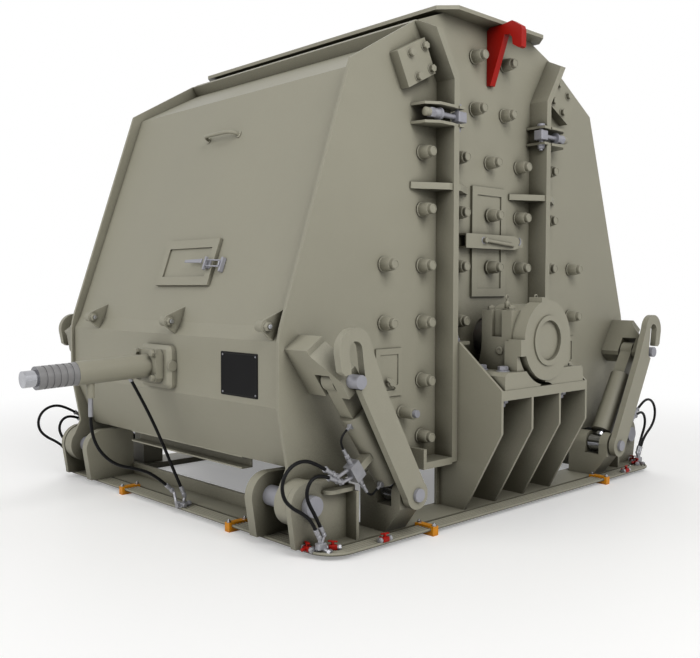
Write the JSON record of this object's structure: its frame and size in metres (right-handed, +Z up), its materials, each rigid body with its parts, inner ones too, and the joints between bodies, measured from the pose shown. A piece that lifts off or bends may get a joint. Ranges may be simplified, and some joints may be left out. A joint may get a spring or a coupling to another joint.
{
  "type": "impact crusher",
  "caption": "Horizontal-shaft impact crusher with a fixed centre section, hydraulically opened side hoods, hook arms, a bladed rotor and adjustable aprons.",
  "frame": {"origin": "bottom centre of the base frame", "axes": "+Z up, +Y along the rotor shaft away from the near bearing, +X towards the right hood"},
  "size_m": [4.8108, 3.102, 2.862],
  "materials": {
    "olive_paint": "satin",
    "steel": "machined",
    "wear_steel": "as cast",
    "chrome": "polished",
    "red_paint": "gloss",
    "orange_paint": "gloss",
    "hose_rubber": "smooth"
  },
  "bodies": {
    "frame": {"base_frame": "olive_paint", "centre_wall_near": "olive_paint", "centre_wall_far": "olive_paint", "feed_head": "olive_paint", "pedestal_near": "olive_paint", "pedestal_far": "olive_paint", "bearing_near": "olive_paint", "bearing_far": "olive_paint", "corner_bracket_near_left": "olive_paint", "corner_bracket_far_left": "olive_paint", "corner_bracket_near_right": "olive_paint", "corner_bracket_far_right": "olive_paint", "inspection_covers": "olive_paint", "base_pipes": "olive_paint", "lifting_hooks": "red_paint", "pipe_clamps": "orange_paint"},
    "rotor": {"rotor_body": "steel", "blow_bars": "wear_steel"},
    "hood_left": {"hood_shell_left": "olive_paint", "hood_bracket_near_left": "olive_paint", "hood_bracket_far_left": "olive_paint", "upper_apron_left": "wear_steel", "adjuster_body_left": "olive_paint", "panel_hatch_left": "olive_paint", "hose_feed_left": "hose_rubber", "hose_return_left": "hose_rubber"},
    "lower_apron_left": {"lower_apron_left": "wear_steel"},
    "adjuster_rod_left": {"adjuster_rod_left": "chrome"},
    "lift_barrel_near_left": {"lift_barrel_near_left": "olive_paint", "hose_outer_near_left": "hose_rubber", "hose_inner_near_left": "hose_rubber"},
    "lift_rod_near_left": {"lift_rod_near_left": "olive_paint"},
    "hook_arm_near_left": {"hook_arm_near_left": "olive_paint"},
    "lift_barrel_far_left": {"lift_barrel_far_left": "olive_paint", "hose_outer_far_left": "hose_rubber", "hose_inner_far_left": "hose_rubber"},
    "lift_rod_far_left": {"lift_rod_far_left": "olive_paint"},
    "hook_arm_far_left": {"hook_arm_far_left": "olive_paint"},
    "hood_right": {"hood_shell_right": "olive_paint", "hood_bracket_near_right": "olive_paint", "hood_bracket_far_right": "olive_paint", "upper_apron_right": "wear_steel", "adjuster_body_right": "olive_paint", "panel_hatch_right": "olive_paint", "hose_feed_right": "hose_rubber", "hose_return_right": "hose_rubber"},
    "lower_apron_right": {"lower_apron_right": "wear_steel"},
    "adjuster_rod_right": {"adjuster_rod_right": "chrome"},
    "lift_barrel_near_right": {"lift_barrel_near_right": "olive_paint", "hose_outer_near_right": "hose_rubber", "hose_inner_near_right": "hose_rubber"},
    "lift_rod_near_right": {"lift_rod_near_right": "olive_paint"},
    "hook_arm_near_right": {"hook_arm_near_right": "olive_paint"},
    "lift_barrel_far_right": {"lift_barrel_far_right": "olive_paint", "hose_outer_far_right": "hose_rubber", "hose_inner_far_right": "hose_rubber"},
    "lift_rod_far_right": {"lift_rod_far_right": "olive_paint"},
    "hook_arm_far_right": {"hook_arm_far_right": "olive_paint"}
  },
  "joints": [
    {"name": "rotor_spin", "type": "hinge", "parent": "frame", "child": "rotor", "pos_m": [0, 0, 0.992], "axis": [0, 1, 0], "continuous": true},
    {"name": "hood_left_open", "type": "hinge", "parent": "frame", "child": "hood_left", "pos_m": [-1.515, 0, 0.24], "axis": [0, -1, 0], "range_deg": [0, 20]},
    {"name": "lower_apron_left_swing", "type": "hinge", "parent": "hood_left", "child": "lower_apron_left", "pos_m": [-1.225, 0, 1.62], "axis": [0, 1, 0], "range_deg": [0, 7]},
    {"name": "adjuster_left_slide", "type": "slide", "parent": "hood_left", "child": "adjuster_rod_left", "axis": [-0.9991, 0, -0.0419], "range_m": [0, 0.0912]},
    {"name": "barrel_near_left_pivot", "type": "hinge", "parent": "hood_left", "child": "lift_barrel_near_left", "pos_m": [-1.41, -1.28, 0.85], "axis": [0, -1, 0], "range_deg": [-8.3, 0]},
    {"name": "rod_near_left_slide", "type": "slide", "parent": "lift_barrel_near_left", "child": "lift_rod_near_left", "axis": [0.5657, 0, -0.8246], "range_m": [0, 0.1424]},
    {"name": "hook_near_left_swing", "type": "hinge", "parent": "frame", "child": "hook_arm_near_left", "pos_m": [-0.997, -1.42, 0.248], "axis": [0, -1, 0], "range_deg": [0, 16.5]},
    {"name": "barrel_far_left_pivot", "type": "hinge", "parent": "hood_left", "child": "lift_barrel_far_left", "pos_m": [-1.41, 1.28, 0.85], "axis": [0, -1, 0], "range_deg": [-8.3, 0]},
    {"name": "rod_far_left_slide", "type": "slide", "parent": "lift_barrel_far_left", "child": "lift_rod_far_left", "axis": [0.5657, 0, -0.8246], "range_m": [0, 0.1424]},
    {"name": "hook_far_left_swing", "type": "hinge", "parent": "frame", "child": "hook_arm_far_left", "pos_m": [-0.997, 1.42, 0.248], "axis": [0, -1, 0], "range_deg": [0, 16.5]},
    {"name": "hood_right_open", "type": "hinge", "parent": "frame", "child": "hood_right", "pos_m": [1.515, 0, 0.24], "axis": [0, 1, 0], "range_deg": [0, 20]},
    {"name": "lower_apron_right_swing", "type": "hinge", "parent": "hood_right", "child": "lower_apron_right", "pos_m": [1.225, 0, 1.62], "axis": [0, -1, 0], "range_deg": [0, 7]},
    {"name": "adjuster_right_slide", "type": "slide", "parent": "hood_right", "child": "adjuster_rod_right", "axis": [0.9991, 0, -0.0419], "range_m": [0, 0.0912]},
    {"name": "barrel_near_right_pivot", "type": "hinge", "parent": "hood_right", "child": "lift_barrel_near_right", "pos_m": [1.41, -1.28, 0.85], "axis": [0, 1, 0], "range_deg": [-8.3, 0]},
    {"name": "rod_near_right_slide", "type": "slide", "parent": "lift_barrel_near_right", "child": "lift_rod_near_right", "axis": [-0.5657, 0, -0.8246], "range_m": [0, 0.1424]},
    {"name": "hook_near_right_swing", "type": "hinge", "parent": "frame", "child": "hook_arm_near_right", "pos_m": [0.997, -1.42, 0.248], "axis": [0, 1, 0], "range_deg": [0, 16.5]},
    {"name": "barrel_far_right_pivot", "type": "hinge", "parent": "hood_right", "child": "lift_barrel_far_right", "pos_m": [1.41, 1.28, 0.85], "axis": [0, 1, 0], "range_deg": [-8.3, 0]},
    {"name": "rod_far_right_slide", "type": "slide", "parent": "lift_barrel_far_right", "child": "lift_rod_far_right", "axis": [-0.5657, 0, -0.8246], "range_m": [0, 0.1424]},
    {"name": "hook_far_right_swing", "type": "hinge", "parent": "frame", "child": "hook_arm_far_right", "pos_m": [0.997, 1.42, 0.248], "axis": [0, 1, 0], "range_deg": [0, 16.5]}
  ],
  "couplings": [
    {"joint": "adjuster_left_slide", "follows": "lower_apron_left_swing", "m_per_rad": 0.738},
    {"joint": "barrel_near_left_pivot", "follows": "hood_left_open", "ratio": -0.41},
    {"joint": "rod_near_left_slide", "follows": "hood_left_open", "m_per_rad": 0.405},
    {"joint": "hook_near_left_swing", "follows": "hood_left_open", "ratio": 0.82},
    {"joint": "barrel_far_left_pivot", "follows": "hood_left_open", "ratio": -0.41},
    {"joint": "rod_far_left_slide", "follows": "hood_left_open", "m_per_rad": 0.405},
    {"joint": "hook_far_left_swing", "follows": "hood_left_open", "ratio": 0.82},
    {"joint": "adjuster_right_slide", "follows": "lower_apron_right_swing", "m_per_rad": 0.738},
    {"joint": "barrel_near_right_pivot", "follows": "hood_right_open", "ratio": -0.41},
    {"joint": "rod_near_right_slide", "follows": "hood_right_open", "m_per_rad": 0.405},
    {"joint": "hook_near_right_swing", "follows": "hood_right_open", "ratio": 0.82},
    {"joint": "barrel_far_right_pivot", "follows": "hood_right_open", "ratio": -0.41},
    {"joint": "rod_far_right_slide", "follows": "hood_right_open", "m_per_rad": 0.405},
    {"joint": "hook_far_right_swing", "follows": "hood_right_open", "ratio": 0.82}
  ]
}
